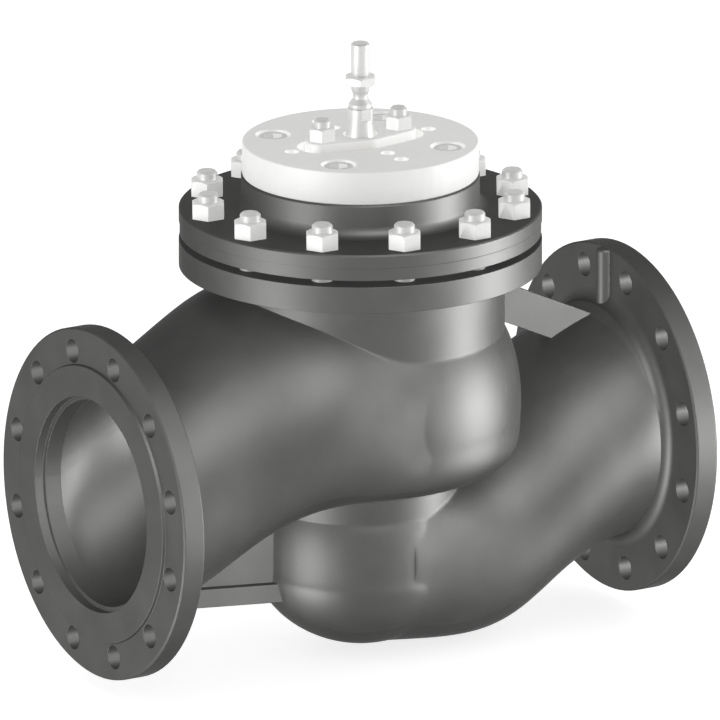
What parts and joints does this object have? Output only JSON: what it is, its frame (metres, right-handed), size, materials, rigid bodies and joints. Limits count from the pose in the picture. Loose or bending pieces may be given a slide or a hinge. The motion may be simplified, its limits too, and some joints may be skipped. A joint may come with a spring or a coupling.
{
  "type": "two-way globe valve",
  "caption": "Flanged cast-iron two-way globe valve with a pressure-balanced plug, a bolted bonnet and a plate and threaded stem for a linear actuator.",
  "frame": {"origin": "centre of port A's raised face, on the pipe's centre line", "axes": "+X along the pipe from port A to port B, +Z along the stem, away from the body"},
  "size_m": [0.6, 0.347, 0.5987],
  "materials": {
    "casting": "painted dark grey",
    "machined_steel": "fine turned",
    "zinc_steel": "zinc plated",
    "stainless": "ground",
    "bronze": "turned",
    "graphite": "matt",
    "seal": "matt"
  },
  "bodies": {
    "housing": {"body": "casting", "bonnet": "casting", "mounting_plate": "machined_steel", "gland_flange": "machined_steel", "bonnet_studs": "zinc_steel", "bonnet_nuts": "zinc_steel", "plate_screws": "zinc_steel", "gland_studs": "zinc_steel", "gland_nuts": "zinc_steel", "seat_ring": "stainless", "seat_gasket": "graphite", "cylinder_liner": "stainless", "bonnet_gasket": "graphite", "guide_bush": "bronze", "packing_base_ring": "stainless", "packing_rings": "graphite", "gland_follower": "bronze"},
    "stem": {"plug": "stainless", "piston_ring": "seal", "piston_guide_ring": "seal", "valve_stem": "stainless", "plug_washer": "stainless", "plug_nut": "stainless", "stem_coupling": "stainless", "stem_connector": "stainless", "lock_nut": "zinc_steel"}
  },
  "joints": [
    {"name": "stem_stroke", "type": "slide", "parent": "housing", "child": "stem", "axis": [0, 0, 1], "range_m": [0, 0.06]}
  ]
}
